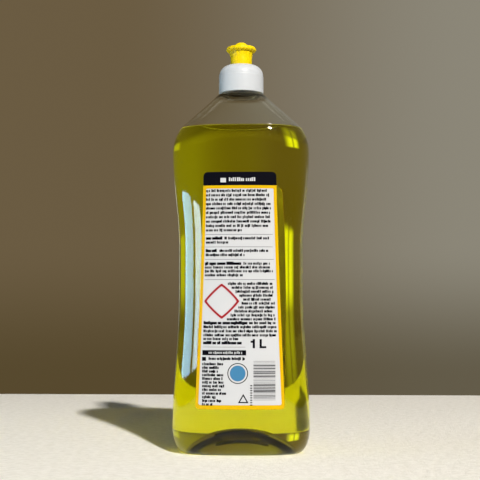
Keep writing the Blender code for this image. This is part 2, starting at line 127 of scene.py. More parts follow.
# %% Shader maths
class Value:
    """A socket with the operators that the finishes use. Each adds one Math node."""

    def __init__(self, tree, socket):
        self.tree = tree
        self.socket = socket

    def maths(self, operation, first, second):
        return self.tree.node("Math", {"operation": operation}, {0: first, 1: second})

    def __add__(self, other):
        return self.maths("ADD", self, other)

    __radd__ = __add__

    def __sub__(self, other):
        return self.maths("SUBTRACT", self, other)

    def __rsub__(self, other):
        return self.maths("SUBTRACT", other, self)

    def __mul__(self, other):
        return self.maths("MULTIPLY", self, other)

    __rmul__ = __mul__

    def max(self, other):
        return self.maths("MAXIMUM", self, other)

    def ramp(self, low, high):
        """Rises smoothly from 0 at low to 1 at high."""
        inputs = {"Value": self, "From Min": low, "From Max": high}
        return self.tree.node("MapRange", {"interpolation_type": "SMOOTHSTEP"}, inputs)


class Tree:
    """A node tree that is written as calls."""

    def __init__(self, node_tree):
        self.tree = node_tree

    def put(self, socket, value):
        """Links a value to a socket, or sets the socket's own."""
        if isinstance(value, Value):
            self.tree.links.new(value.socket, socket)
        elif isinstance(value, (tuple, list)) and len(value) == 3 and len(socket.default_value) == 4:
            socket.default_value = (*value, 1.0)
        else:
            socket.default_value = value

    def node(self, kind, settings=None, inputs=None, output=0):
        """Makes a node by its type, sets it, and fills its sockets."""
        made = self.tree.nodes.new("ShaderNode" + kind)
        for name, value in (settings or {}).items():
            setattr(made, name, value)
        for name, value in (inputs or {}).items():
            self.put(made.inputs[name], value)
        return Value(self, made.outputs[output])

    def axes(self, source="Object"):
        """The three numbers of a place, or of a direction for the backdrop."""
        place = self.node("TexCoord", output=source)
        return [self.node("SeparateXYZ", None, {0: place}, output) for output in range(3)]

    def noise(self, scale, detail=2.0, roughness=0.5):
        """A cloudy value from 0 to 1, with scale lumps to a metre."""
        place = self.node("TexCoord", output="Object")
        inputs = {"Vector": place, "Scale": scale, "Detail": detail, "Roughness": roughness}
        return self.node("TexNoise", None, inputs, "Fac")

    def blend(self, factor, first, second):
        """Mixes two colours by a mask."""
        return self.node("Mix", {"data_type": "RGBA"}, {0: factor, 6: first, 7: second}, 2)


class Finish(Tree):
    """A material: the Principled shader's sockets are given by name."""

    def __init__(self, name, **surface):
        self.material = bpy.data.materials.new(name)
        self.material.use_nodes = True
        super().__init__(self.material.node_tree)
        self.shader = self.tree.nodes["Principled BSDF"]
        self.output = self.tree.nodes["Material Output"]
        for socket, value in surface.items():
            self.put(self.shader.inputs[socket.replace("_", " ")], value)

    def paint(self, mask, first, second):
        """Varies the base colour between two shades by a mask."""
        self.put(self.shader.inputs["Base Color"], self.blend(mask, first, second))

    def bump(self, height, strength, distance):
        """Tilts the surface by the slope of a height."""
        inputs = {"Strength": strength, "Distance": distance, "Height": height}
        self.put(self.shader.inputs["Normal"], self.node("Bump", None, inputs))

    def let_lamps_through(self, colour):
        """Rays from lamps pass as through tinted film, so that what is behind is lit."""
        ray = self.node("LightPath", output="Is Shadow Ray")
        film = self.node("BsdfTransparent", None, {"Color": colour})
        shader = Value(self, self.shader.outputs[0])
        self.put(self.output.inputs["Surface"], self.node("MixShader", None, {0: ray, 1: shader, 2: film}))

    def absorb(self, colour, density):
        """Takes light out with distance, as a dye does."""
        dye = self.node("VolumeAbsorption", None, {"Color": colour, "Density": density})
        self.put(self.output.inputs["Volume"], dye)


# %% [markdown]
# The photograph was taken from a third of the bottle's height, three quarters of a metre away,
# with the camera tipped up a few degrees. The floor ends where the table does. It is rough white
# plaster, and a noise gives it grain, as relief and as shade.

# %% Camera and floor
CAMERA_DISTANCE = 749 * MM
CAMERA_HEIGHT = 105 * MM
CAMERA_AZIMUTH = math.radians(2.0)
CAMERA_PITCH = math.radians(3.52)
CAMERA_YAW = math.radians(0.07)
CAMERA_LENS = 78.0
FLOOR_HALF_WIDTH = 620 * MM
FLOOR_FRONT = -620 * MM
FLOOR_BACK = 465 * MM
GRAIN_SCALE = 170.0
GRAIN_CONTRAST = (0.3, 0.7)
GRAIN_RELIEF = 3.0 * MM
PLASTER_DIP = (0.86, 0.84, 0.79)
PLASTER_RISE = (0.99, 0.97, 0.93)

camera_data = bpy.data.cameras.new("photo_camera")
camera_data.lens = CAMERA_LENS
camera = add_object("photo_camera", camera_data)
camera.location = (CAMERA_DISTANCE * math.sin(CAMERA_AZIMUTH),
                   -CAMERA_DISTANCE * math.cos(CAMERA_AZIMUTH), CAMERA_HEIGHT)
camera.rotation_euler = (math.pi / 2 + CAMERA_PITCH, 0.0, CAMERA_AZIMUTH + CAMERA_YAW)
bpy.context.scene.camera = camera

floor_x, floor_y = np.meshgrid([-FLOOR_HALF_WIDTH, FLOOR_HALF_WIDTH], [FLOOR_FRONT, FLOOR_BACK])
floor = grid_mesh("floor", points_of(floor_x, floor_y, 0.0), closed=False)
plaster = Finish("floor_plaster", Roughness=0.9, Specular_IOR_Level=0.2)
grain = plaster.noise(GRAIN_SCALE, 6.0, 0.75)
plaster.paint(grain.ramp(*GRAIN_CONTRAST), PLASTER_DIP, PLASTER_RISE)
plaster.bump(grain, 0.8, GRAIN_RELIEF)
floor.data.materials.append(plaster.material)

# %% [markdown]
# A warm lamp, far off at the right front, stands for the sun and throws the shadow. Two lamps on
# the left make the pale streaks on the bottle, and show only as gloss. A third cools the left side
# of matt faces and never shows as gloss. None of the three shows through the bottle.

# %% Lights
AIM = (0.0, 0.0, 0.13)
MATT_ONLY = ("glossy", "transmission")
GLOSS_ONLY = ("diffuse", "transmission")
LAMPS = (
    ("warm_key", (1.03, -2.45, 2.24), (0.13, 0.13), 180.0, (1.0, 0.95, 0.87), ()),
    ("left_sky", (-1.00, -0.30, 0.14), (0.50, 0.24), 3.1, (0.55, 0.85, 1.0), MATT_ONLY),
    ("cool_window", (-0.97, -0.22, 0.125), (0.62, 0.15), 5.6, (0.40, 0.76, 1.0), GLOSS_ONLY),
    ("pale_curtain", (-0.72, -0.69, 0.125), (0.26, 0.15), 2.9, (0.72, 0.92, 1.0), GLOSS_ONLY))


def soft_box(name, place, size, power, colour, unseen_by):
    """An area lamp that faces the bottle's middle, and that some kinds of rays don't see."""
    data = bpy.data.lights.new(name, "AREA")
    data.shape = "RECTANGLE"
    data.size, data.size_y = size
    data.energy = power
    data.color = colour
    lamp = add_object(name, data)
    lamp.location = place
    aim = np.array(AIM) - np.array(place)
    lamp.rotation_euler = (math.atan2(math.hypot(aim[0], aim[1]), -aim[2]), 0.0,
                           math.atan2(aim[1], aim[0]) - math.pi / 2)
    for rays in unseen_by:
        setattr(lamp, "visible_" + rays, False)


for lamp in LAMPS:
    soft_box(*lamp)
print("lamps:", [lamp[0] for lamp in LAMPS])

# %% [markdown]
# The backdrop is a plain wall, lighter to the right and darker towards the table. Outside the
# picture, behind on the left, it has a bright opening that shines through the soap as the yellow
# band by the label, and a weaker one on the right. Matt surfaces find a weak even light instead.

# %% Backdrop
WALL_LEFT = (0.146, 0.106, 0.055)
WALL_RIGHT = (0.262, 0.242, 0.190)
LOW_LEFT = (0.095, 0.067, 0.028)
LOW_RIGHT = (0.125, 0.106, 0.068)
WALL_TURN = (-0.16, 0.20)
WALL_FALL = (0.06, -0.07)
OPENING = (1.05, 1.08, 0.95)
BEHIND = (0.0, 0.1)
LEFT_OPENING = (-0.44, -0.36, -0.28, -0.20)
RIGHT_OPENING = (0.40, 0.52, 0.68, 0.80)
RIGHT_SHARE = 0.4
TALL_PANE = (-0.04, 0.02, 0.085, 0.105)
LOW_PANE = (-0.16, -0.06, -0.02, 0.06)
LOW_SHARE = 0.3
BAR = (-0.336, -0.324, -0.312, -0.300)
BAR_SHADE = 0.55
AMBIENT_COLOUR = (1.0, 0.84, 0.60)
AMBIENT_STRENGTH = 0.055


def between(value, low, full_from, full_to, high):
    """A band with soft edges: 0 outside low and high, 1 between the two full values."""
    return value.ramp(low, full_from) * value.ramp(high, full_to)


world = bpy.data.worlds.new("studio")
bpy.context.scene.world = world
world.use_nodes = True
studio = Tree(world.node_tree)
across, away, up = studio.axes("Generated")
rightness = across.ramp(*WALL_TURN)
wall = studio.blend(up.ramp(*WALL_FALL), studio.blend(rightness, WALL_LEFT, WALL_RIGHT),
                    studio.blend(rightness, LOW_LEFT, LOW_RIGHT))
is_camera = studio.node("LightPath", output="Is Camera Ray")
mirrored = studio.node("LightPath", output="Is Glossy Ray").max(
    studio.node("LightPath", output="Is Transmission Ray"))
behind = away.ramp(*BEHIND)
tall_pane = between(up, *TALL_PANE)
panes = tall_pane.max(between(up, *LOW_PANE) * LOW_SHARE) * (1.0 - BAR_SHADE * between(across, *BAR))
opening = (between(across, *LEFT_OPENING) * behind * panes
           + between(across, *RIGHT_OPENING) * behind * tall_pane * RIGHT_SHARE)
wall = studio.blend(opening * (1.0 - is_camera), wall, OPENING)
ambient_light = studio.node("Background", None, {"Color": AMBIENT_COLOUR, "Strength": AMBIENT_STRENGTH})
wall_light = studio.node("Background", None, {"Color": wall, "Strength": 1.0})
studio_light = studio.node("MixShader", None, {0: mirrored.max(is_camera), 1: ambient_light, 2: wall_light})
studio.put(studio.tree.nodes["World Output"].inputs["Surface"], studio_light)
bpy.context.scene.view_settings.view_transform = "Standard"
print("backdrop nodes:", len(studio.tree.nodes))

# %% [markdown]
# The bottle was blown in a mould. From the front it has a full base, a long waist and a full
# shoulder, then a round turn into a straight cone under the cap. In plan it is a rounded oblong,
# |x/a|^p + |y/b|^p = 1, which turns into the neck's circle on the way up the shoulder.

# %% Bottle outline
BASE_HALF_WIDTH = 48.9 * MM
WAIST_HALF_WIDTH = 44.4 * MM
SHOULDER_HALF_WIDTH = 49.2 * MM
BASE_HALF_DEPTH = 29.5 * MM
WAIST_HALF_DEPTH = 28.6 * MM
SHOULDER_HALF_DEPTH = 29.5 * MM
BODY_POWER = 2.8
HEEL_SIDE_INSET = 8.5 * MM
HEEL_FACE_INSET = 10.0 * MM
HEEL_HEIGHT = 18.0 * MM
FOOT_WIDTH = 2.0 * MM
PUSH_UP_HEIGHT = 16.5 * MM
PUSH_UP_POWER = 0.6
WAIST_LOW = 120.0 * MM
WAIST_HIGH = 145.0 * MM
LEDGE_HEIGHT = 256.8 * MM
LEDGE_RADIUS = 16.0 * MM
SHOULDER_RADIUS = 28.0 * MM
CONE_ANGLE = math.radians(42.5)
SHOULDER_TURN = math.pi / 2 - CONE_ANGLE
BASE_CURVE_POWER = 1.3
DEPTH_CURVE_POWER = 0.8
WALL = 0.7 * MM
FILL_HEIGHT = 230.5 * MM
PLAN_STEPS = 192
PUSH_UP_ROWS = 40
HEEL_ROWS = 24
WALL_ROWS = 90
SHOULDER_ROWS = 34
CONE_ROWS = 18
CORNER_GAP = 0.3 * MM
HEEL_TO_WALL = 1.5 * MM

ARC_INSET = SHOULDER_RADIUS * (1.0 - math.cos(SHOULDER_TURN))
CONE_RUN = SHOULDER_HALF_WIDTH - LEDGE_RADIUS - ARC_INSET
SHOULDER_START = (LEDGE_HEIGHT - CONE_RUN * math.tan(CONE_ANGLE)
                  - SHOULDER_RADIUS * math.sin(SHOULDER_TURN))


def ease(t):
    """The S-curve 3t^2 - 2t^3, flat at both ends."""
    t = np.clip(t, 0.0, 1.0)
    return t * t * (3.0 - 2.0 * t)


def wall_half(z, base, waist, shoulder):
    """Half size at a height: the base's extra dies away upwards, the shoulder's eases in."""
    rest = ease((WAIST_LOW - z) / (WAIST_LOW - HEEL_HEIGHT)) ** BASE_CURVE_POWER
    rise = ease((z - WAIST_HIGH) / (SHOULDER_START - WAIST_HIGH))
    return waist + (base - waist) * rest + (shoulder - waist) * rise


def body_half(z):
    """Half width and half depth of the body at a height."""
    return (wall_half(z, BASE_HALF_WIDTH, WAIST_HALF_WIDTH, SHOULDER_HALF_WIDTH),
            wall_half(z, BASE_HALF_DEPTH, WAIST_HALF_DEPTH, SHOULDER_HALF_DEPTH))


def rows_of(width, depth, power, z):
    """Rows of half width, half depth, plan power and height."""
    return np.stack(np.broadcast_arrays(width, depth, power, z), axis=1)


def push_up_rows(inset):
    """The arch under the base: a share sin t of its half sizes, H cos(t)^2p high, moved in
    along its normal. It ends at the foot's inner corner."""
    t = np.radians(np.linspace(2.0, 88.0, PUSH_UP_ROWS))
    half_width = BASE_HALF_WIDTH - HEEL_SIDE_INSET - FOOT_WIDTH
    half_depth = BASE_HALF_DEPTH - HEEL_FACE_INSET - FOOT_WIDTH
    z = PUSH_UP_HEIGHT * np.cos(t) ** (2.0 * PUSH_UP_POWER)
    fall = 2.0 * PUSH_UP_POWER * z * np.tan(t) / np.cos(t)
    slope = np.arctan2(fall, (half_width + half_depth) / 2)
    out = inset * np.sin(slope)
    rows = rows_of(half_width * np.sin(t) + out, half_depth * np.sin(t) + out, BODY_POWER,
                   z + inset * np.cos(slope))
    corner = rows_of([half_width + inset], [half_depth + inset], BODY_POWER, inset)
    return np.vstack([rows[rows[:, 3] > inset + CORNER_GAP], corner])


def heel_rows(inset):
    """The heel is a quarter of an ellipse, from the foot's outer edge to the wall."""
    turn = np.radians(np.linspace(-90.0, 0.0, HEEL_ROWS))
    mean_inset = (HEEL_SIDE_INSET + HEEL_FACE_INSET) / 2
    tilt = np.arctan2(np.sin(turn) / HEEL_HEIGHT, np.cos(turn) / mean_inset)
    into = inset * np.cos(tilt)
    z = HEEL_HEIGHT * (1.0 + np.sin(turn)) - inset * np.sin(tilt)
    return rows_of(BASE_HALF_WIDTH - HEEL_SIDE_INSET * (1.0 - np.cos(turn)) - into,
                   BASE_HALF_DEPTH - HEEL_FACE_INSET * (1.0 - np.cos(turn)) - into, BODY_POWER, z)


def wall_rows(inset):
    """The wall goes up to the shoulder's round, and that turns into the cone to the ledge."""
    z = np.linspace(HEEL_HEIGHT + HEEL_TO_WALL, SHOULDER_START, WALL_ROWS)
    width, depth = body_half(z)
    body = rows_of(width - inset, depth - inset, BODY_POWER, z)
    turn = np.linspace(0.0, SHOULDER_TURN, SHOULDER_ROWS)[1:]
    arc_width = SHOULDER_HALF_WIDTH - SHOULDER_RADIUS * (1.0 - np.cos(turn))
    cone_width = np.linspace(arc_width[-1], LEDGE_RADIUS, CONE_ROWS)[1:]
    width = np.hstack([arc_width, cone_width])
    z = np.hstack([SHOULDER_START + SHOULDER_RADIUS * np.sin(turn),
                   LEDGE_HEIGHT - (cone_width - LEDGE_RADIUS) * math.tan(CONE_ANGLE)])
    tilt = np.hstack([turn, np.full_like(cone_width, SHOULDER_TURN)])
    share = (width - LEDGE_RADIUS) / (SHOULDER_HALF_WIDTH - LEDGE_RADIUS)
    depth = LEDGE_RADIUS + (SHOULDER_HALF_DEPTH - LEDGE_RADIUS) * share ** DEPTH_CURVE_POWER
    shoulder = rows_of(width - inset * np.cos(tilt), depth - inset * np.cos(tilt),
                       2.0 + (BODY_POWER - 2.0) * share, z - inset * np.sin(tilt))
    return np.vstack([body, shoulder])


def outline_rows(inset):
    """The outline from the push-up's middle to the ledge, moved in by an inset."""
    return np.vstack([push_up_rows(inset), heel_rows(inset), wall_rows(inset)])


def signed_power(base, power):
    """A power of a number's size that keeps its sign."""
    return np.sign(base) * np.abs(base) ** power


def plan_grid(rows):
    """Sweeps an angle round each row's plan: x = a cos^(2/p), y = b sin^(2/p), signs kept."""
    angle = full_turn(PLAN_STEPS)
    width, depth, power, z = np.split(rows, 4, axis=1)
    return points_of(width * signed_power(np.cos(angle), 2.0 / power),
                     depth * signed_power(np.sin(angle), 2.0 / power), z)


def turned_grid(profile, steps=PLAN_STEPS):
    """Turns rows of radius and height about the upright axis."""
    angle = full_turn(steps)
    radius, z = np.split(np.asarray(profile, float), 2, axis=1)
    return points_of(radius * np.cos(angle), radius * np.sin(angle), z)


def arc_rows(centre, radii, start, end, count):
    """Radius and height along a round or an ellipse arc between two angles in degrees."""
    turn = np.radians(np.linspace(start, end, count))
    return centre + np.stack([np.cos(turn), np.sin(turn)], 1) * radii


print("shoulder starts at", round(SHOULDER_START * 1000, 2), "mm")

# %% [markdown]
# The neck's thread is a ridge that climbs 4.2 mm a turn, added to the grid's radius. The distance
# up from the ridge's centre line decides how much of its flank is there.

# %% Neck and its thread
NECK_RADIUS = 12.6 * MM
NECK_BORE_RADIUS = 10.85 * MM
NECK_HEIGHT = 15.2 * MM
NECK_FILLET = 1.2 * MM
NECK_FLOOR = 1.2 * MM
NECK_LIP_EDGE = 0.4 * MM
NECK_MOUTH_ROUND = 1.4 * MM
NECK_ROWS = 76
BORE_EDGE = 0.3 * MM
NECK_LIP = LEDGE_HEIGHT + NECK_HEIGHT
THREAD_DEPTH = 1.0 * MM
THREAD_BASE = 2.2 * MM
THREAD_CREST = 1.0 * MM
THREAD_PITCH = 4.2 * MM
THREAD_TURNS = 1.5
THREAD_START = LEDGE_HEIGHT + 4.0 * MM
THREAD_RUN_OUT = 1.0 / 12.0
THREAD_LAPS = 3


def thread_relief(grid, depth, base, crest, start, first_turn, turns):
    """Moves points of a round wall out by a ridge of trapezoid section. Its centre line is
    start + pitch * turns so far, and it fades at both ends."""
    angle = np.arctan2(grid[..., 1], grid[..., 0]) % (2.0 * math.pi)
    lift = np.zeros(grid.shape[:2])
    for lap in range(THREAD_LAPS):
        along = angle / (2.0 * math.pi) + lap - first_turn
        off = np.abs(grid[..., 2] - start - THREAD_PITCH * along)
        flank = np.clip((base / 2 - off) / ((base - crest) / 2), 0.0, 1.0)
        ends = np.clip(np.minimum(along, turns - along) / THREAD_RUN_OUT, 0.0, 1.0)
        lift = np.maximum(lift, flank * ends)
    scale = 1.0 + depth * lift / np.hypot(grid[..., 0], grid[..., 1])
    grid[..., :2] *= scale[..., None]
    return grid


def neck_outside():
    """The ledge, the root's fillet and the threaded wall up to the rounded lip."""
    ledge = np.linspace((LEDGE_RADIUS - 0.3 * MM, LEDGE_HEIGHT), (NECK_RADIUS + NECK_FILLET, LEDGE_HEIGHT), 4)
    root = arc_rows((NECK_RADIUS + NECK_FILLET, LEDGE_HEIGHT + NECK_FILLET), NECK_FILLET, 265.0, 180.0, 6)
    threaded = np.linspace((NECK_RADIUS, LEDGE_HEIGHT + NECK_FILLET + 0.1 * MM),
                           (NECK_RADIUS, NECK_LIP - 0.5 * MM), NECK_ROWS)
    rim = arc_rows((NECK_RADIUS - NECK_LIP_EDGE, NECK_LIP - NECK_LIP_EDGE), NECK_LIP_EDGE, 0.0, 90.0, 5)
    grid = turned_grid(np.vstack([ledge, root, threaded, rim]))
    return thread_relief(grid, THREAD_DEPTH, THREAD_BASE, THREAD_CREST, THREAD_START, 0.0, THREAD_TURNS)


def neck_inside():
    """Down the bore and round its mouth to the underside of the ledge."""
    floor_z = LEDGE_HEIGHT - NECK_FLOOR
    bore = np.array([(NECK_BORE_RADIUS + BORE_EDGE, NECK_LIP), (NECK_BORE_RADIUS, NECK_LIP - BORE_EDGE),
                     (NECK_BORE_RADIUS, LEDGE_HEIGHT + NECK_FILLET)])
    mouth = arc_rows((NECK_BORE_RADIUS + NECK_MOUTH_ROUND, floor_z + NECK_MOUTH_ROUND),
                     NECK_MOUTH_ROUND, 180.0, 270.0, 8)
    shelf = np.array([(LEDGE_RADIUS - 2.0 * MM, floor_z), (LEDGE_RADIUS - WALL, floor_z - 0.1 * MM)])
    return turned_grid(np.vstack([bore, mouth, shelf]))


print("neck lip at", round(NECK_LIP, 4), "m")

# %% [markdown]
# The shell is one closed surface, up to the lip and back down inside, of clear plastic with a
# faint ripple from blowing. Below the soap's level the inner face is wet and hardly mirrors, so it
# has a finish of its own with no shine. Lamps shine through by a shadow-ray branch, because light
# bent twice would take too long to find.

# %% Bottle shell
# From just below the ledge up the neck the clear plastic turns dark brown as painted shade, so the neck shows
# dark under the cap.
NECK_SHADE_SPAN = (253.5 * MM, 255.5 * MM)
THIN_PLASTIC = (0.97, 0.985, 0.96)
NECK_PAINTED_SHADE = (0.60, 0.52, 0.36)
PLASTIC_FILM = (0.94, 0.95, 0.93)
DRY_SHINE = (0.6, 0.6, 0.6)
NO_SHINE = (0.0, 0.0, 0.0)

inner_rows = outline_rows(WALL)
inner_rows = inner_rows[inner_rows[:, 3] < LEDGE_HEIGHT - NECK_FLOOR - 0.8 * MM][::-1]
shell_grid = np.vstack([plan_grid(outline_rows(0.0)), neck_outside(), neck_inside(), plan_grid(inner_rows)])
wet_rows = int((inner_rows[:, 3] < FILL_HEIGHT).sum())
shell = grid_mesh("bottle_shell", shell_grid, poles=((0, 0, PUSH_UP_HEIGHT), (0, 0, PUSH_UP_HEIGHT + WALL)))


def clear_finish(name, shine):
    """Clear plastic, tinted dark brown from the ledge up the neck as painted shade."""
    made = Finish(name, Roughness=0.03, Transmission_Weight=1.0, IOR=1.5, Specular_Tint=shine)
    made.paint(made.axes()[2].ramp(*NECK_SHADE_SPAN), THIN_PLASTIC, NECK_PAINTED_SHADE)
    made.bump(made.noise(26.0, 1.0), 0.10, 1.0 * MM)
    made.let_lamps_through(PLASTIC_FILM)
    return made.material


seat(shell, clear_finish("clear_blown_plastic", DRY_SHINE), "bottle", "clear_pet", "bottle")
row_of_face = np.arange(len(shell.data.polygons)) // PLAN_STEPS
last_row = len(shell_grid) - 1
wetted = (row_of_face >= last_row - wet_rows) & (row_of_face < last_row)
wetted[-PLAN_STEPS:] = True
second_look(shell, clear_finish("wetted_plastic", NO_SHINE), wetted)

# %% [markdown]
# The soap wets the wall, so its surface reaches a hair into the plastic and no air shows between
# them. At the level it climbs the wall a little. Its dye takes out the blue in a few millimetres
# and hardly touches red and green, which leaves a clear yellow-green.

# %% Soap
WETTING = 0.15 * MM
MENISCUS = ((0.0, 0.3), (0.3, 0.12), (0.8, 0.04), (2.2, 0.0))
SOAP_DYE = (0.990, 0.987, 0.0)
DYE_DENSITY = 300.0
SOAP_SHADOW = (0.30, 0.26, 0.03)


def soap_rows():
    """The outline up to the level, then inwards over the meniscus: inset and rise in mm."""
    rows = outline_rows(WALL - WETTING)
    wall = rows[rows[:, 3] > WAIST_HIGH]
    rim = np.array([np.interp(FILL_HEIGHT, wall[:, 3], wall[:, k]) for k in range(4)])
    wet = rows[rows[:, 3] < FILL_HEIGHT]
    edge = np.array([rim - (inset * MM, inset * MM, 0.0, -rise * MM) for inset, rise in MENISCUS])
    wall_tilt = math.asin((FILL_HEIGHT - SHOULDER_START) / SHOULDER_RADIUS)
    edge[0, :2] -= MENISCUS[0][1] * MM * math.tan(wall_tilt)
    return np.vstack([wet, edge])


soap_piece = grid_mesh("soap_body", plan_grid(soap_rows()),
                       poles=((0, 0, PUSH_UP_HEIGHT + WALL - WETTING), (0, 0, FILL_HEIGHT)))
soap = Finish("dish_soap", Base_Color=(0.995, 0.99, 0.80), Roughness=0.0,
              Transmission_Weight=1.0, IOR=1.37, Specular_Tint=NO_SHINE)
soap.let_lamps_through(SOAP_SHADOW)
soap.absorb(SOAP_DYE, DYE_DENSITY)
seat(soap_piece, soap.material, "bottle", "soap", "liquid_fill")

# %% [markdown]
# A label is a thin film bent round the wall. It widens towards the bottom, its corners are round
# and its inner face is plain. Each printed field is a patch of the same bent surface, a few
# hundredths of a millimetre further out.

# %% Label surface
LABEL_BOTTOM = 32.7 * MM
LABEL_FLARE_POWER = 1.3
LABEL_GAP = 0.3 * MM
LABEL_THICKNESS = 0.2 * MM
FACE = LABEL_GAP + LABEL_THICKNESS
LAYER = 0.03 * MM
SHARP_ANGLE = math.radians(50.0)
LABEL_ROWS = 40
CORNER_ROWS = 9
LABEL_COLUMNS = 49
WALL_END = 0.999
BACK_LABEL = {"side": -1.0, "top": 196.8 * MM, "top_half": 25.3 * MM, "bottom_half": 30.9 * MM,
              "corner": 3.0 * MM}
FRONT_LABEL = {"side": 1.0, "top": 194.5 * MM, "top_half": 25.0 * MM, "bottom_half": 26.2 * MM,
               "corner": 8.0 * MM}


def label_point(label, x, z, lift):
    """A point on the wall at x and z, pushed out along the plan's normal by a lift."""
    width, depth = body_half(z)
    ratio = np.clip(np.abs(x / width), 0.0, WALL_END)
    y = depth * (1.0 - ratio ** BODY_POWER) ** (1.0 / BODY_POWER)
    normal_x = np.sign(x) * ratio ** (BODY_POWER - 1.0) / width
    normal_y = (y / depth) ** (BODY_POWER - 1.0) / depth
    size = np.hypot(normal_x, normal_y)
    return points_of(x + lift * normal_x / size, label["side"] * (y + lift * normal_y / size), z)


def label_half(label, z):
    """Half width of a label at a height, before its corners are rounded."""
    spread = np.clip((label["top"] - z) / (label["top"] - LABEL_BOTTOM), 0.0, 1.0)
    return label["top_half"] + (label["bottom_half"] - label["top_half"]) * spread ** LABEL_FLARE_POWER


def corner_heights(heights, corners):
    """Heights between two edges, close together where the corners turn."""
    (low, high), (corner_low, corner_high) = heights, corners
    turn = np.radians(np.linspace(0.0, 90.0, CORNER_ROWS))
    middle_rows = np.linspace(low + corner_low, high - corner_high, LABEL_ROWS)[1:-1]
    return np.hstack([low + corner_low * (1.0 - np.cos(turn)), middle_rows,
                      high - corner_high * (1.0 - np.cos(turn[::-1]))])


def label_field(label, heights, corners, lift, inset=0.0):
    """A grid over a label's width between two heights, with round corners, u from -1 to 1."""
    z = corner_heights(heights, corners)
    half = label_half(label, z) - inset
    for edge, corner in zip(heights, corners):
        near = np.abs(z - edge)
        drop = np.sqrt(np.clip(corner ** 2 - (corner - near) ** 2, 0.0, None)) - corner
        half = half + np.where(near < corner, drop, 0.0)
    u = np.linspace(-1.0, 1.0, LABEL_COLUMNS)
    return label_point(label, half[:, None] * u, z[:, None], lift)


def label_film(name, label, looks, node):
    """A closed band: the printed grid outside and the plain one inside, joined at the edges."""
    heights, corners = (LABEL_BOTTOM, label["top"]), (label["corner"], label["corner"])
    outer = label_field(label, heights, corners, FACE)
    inner = label_field(label, heights, corners, LABEL_GAP)
    band = np.hstack([outer, inner[:, ::-1]])
    piece = grid_mesh(name, band, lids=True, flip=label["side"] > 0.0)
    seat(piece, looks[0], "bottle", "label_film", node)
    column = np.arange(len(piece.data.polygons)) % band.shape[1]
    column[(band.shape[0] - 1) * band.shape[1]:] = 0
    second_look(piece, looks[1], column >= outer.shape[1])
    piece.data.set_sharp_from_angle(angle=SHARP_ANGLE)


def patch(name, label, heights, corners, layers, look, inset=0.0):
    """A printed field between two heights, some layers of ink above the film."""
    grid = label_field(label, heights, corners, FACE + layers * LAYER, inset)
    piece = grid_mesh(name, grid, closed=False, flip=label["side"] > 0.0)
    seat(piece, look, "bottle", "label_film")


print("back label height:", round(BACK_LABEL["top"] - LABEL_BOTTOM, 4), "m")

# %% [markdown]
# The print is solid colour with a satin sheen. A fine noise in the height keeps the sheen from
# looking like glass, and a slow one lets each colour vary by a few hundredths.

# %% Print colours
INK_DIP = 0.93
HEADER_LOW = 187.4 * MM
PANEL_LOW = LABEL_BOTTOM + 2.9 * MM
BORDER = 2.2 * MM


def print_finish(name, colour, roughness, gloss=0.15):
    """An ink that dips here and there to a slightly darker shade."""
    made = Finish(name, Roughness=roughness, Specular_IOR_Level=gloss)
    made.paint(made.noise(60.0, 3.0), tuple(channel * INK_DIP for channel in colour), colour)
    made.bump(made.noise(900.0, 3.0), 0.08, 0.1 * MM)
    return made.material


yellow_print = print_finish("yellow_print", (0.60, 0.37, 0.002), 0.5, 0.06)
pale_print = print_finish("pale_print", (0.515, 0.53, 0.565), 0.5)
dark_print = print_finish("dark_print", (0.0015, 0.0015, 0.0045), 0.6, 0.04)
red_print = print_finish("red_print", (0.30, 0.005, 0.012), 0.5)
blue_print = print_finish("blue_print", (0.045, 0.18, 0.35), 0.5)
film_back = print_finish("plain_film", (0.62, 0.62, 0.60), 0.5)
# The front label's inner face, which shows through the soap, is the same film painted dark grey as painted
# shade.
front_film_back_shade = print_finish("grey_film_painted_shade", (0.30, 0.29, 0.20), 0.6)

label_film("back_label_film", BACK_LABEL, (yellow_print, film_back), "back_label")
label_film("front_label_film", FRONT_LABEL, (yellow_print, front_film_back_shade), "front_label")
patch("label_header", BACK_LABEL, (HEADER_LOW, BACK_LABEL["top"]), (0.2 * MM, BACK_LABEL["corner"]),
      1.0, dark_print)
patch("label_panel", BACK_LABEL, (PANEL_LOW, HEADER_LOW - BORDER), (1.2 * MM, 0.8 * MM), 1.0,
      pale_print, BORDER)

# %% [markdown]
# The small print becomes rows of short upright dashes in word-length groups. From a step away
# they read as lines of type, and close up they spell nothing. Their places are in the photograph's
# pixels. A pixel is 0.72 mm at the bottle's middle, and less on the label, which is nearer.

# %% Small print
TYPE_LIFT = FACE + 2.0 * LAYER
TYPE_HEIGHT = 1.5 * MM
TYPE_PITCH = 0.97 * MM
WORD_DASHES = (2, 11)
WORD_GAP = 0.75
STEP_LEAST, STEP_SPREAD = 0.85, 0.3
THICK_SPREAD = 0.5
TALL_SHARE, TALL_HEIGHT = 0.28, 1.3
LOW_LETTERS, LOW_DROP = 0.1, 0.25
PIXEL = 0.72
NEARNESS = 0.964
PHOTO_MIDDLE, LABEL_SHIFT = 241.3, 1.0
PHOTO_FLOOR, EYE_LEVEL = 449.6, 105.0
random_type = np.random.default_rng(11)


def bar_piece(name, label, boxes, look, lift=TYPE_LIFT):
    """Bent rectangles from rows of left, right, bottom and top: four corners each."""
    boxes = np.asarray(boxes, float)
    points = label_point(label, boxes[:, [0, 1, 1, 0]], boxes[:, [2, 2, 3, 3]], lift).reshape(-1, 3)
    faces = np.arange(len(points)).reshape(-1, 4).tolist()
    seat(mesh_piece(name, points, faces, label["side"] > 0.0), look, "bottle", "label_film")


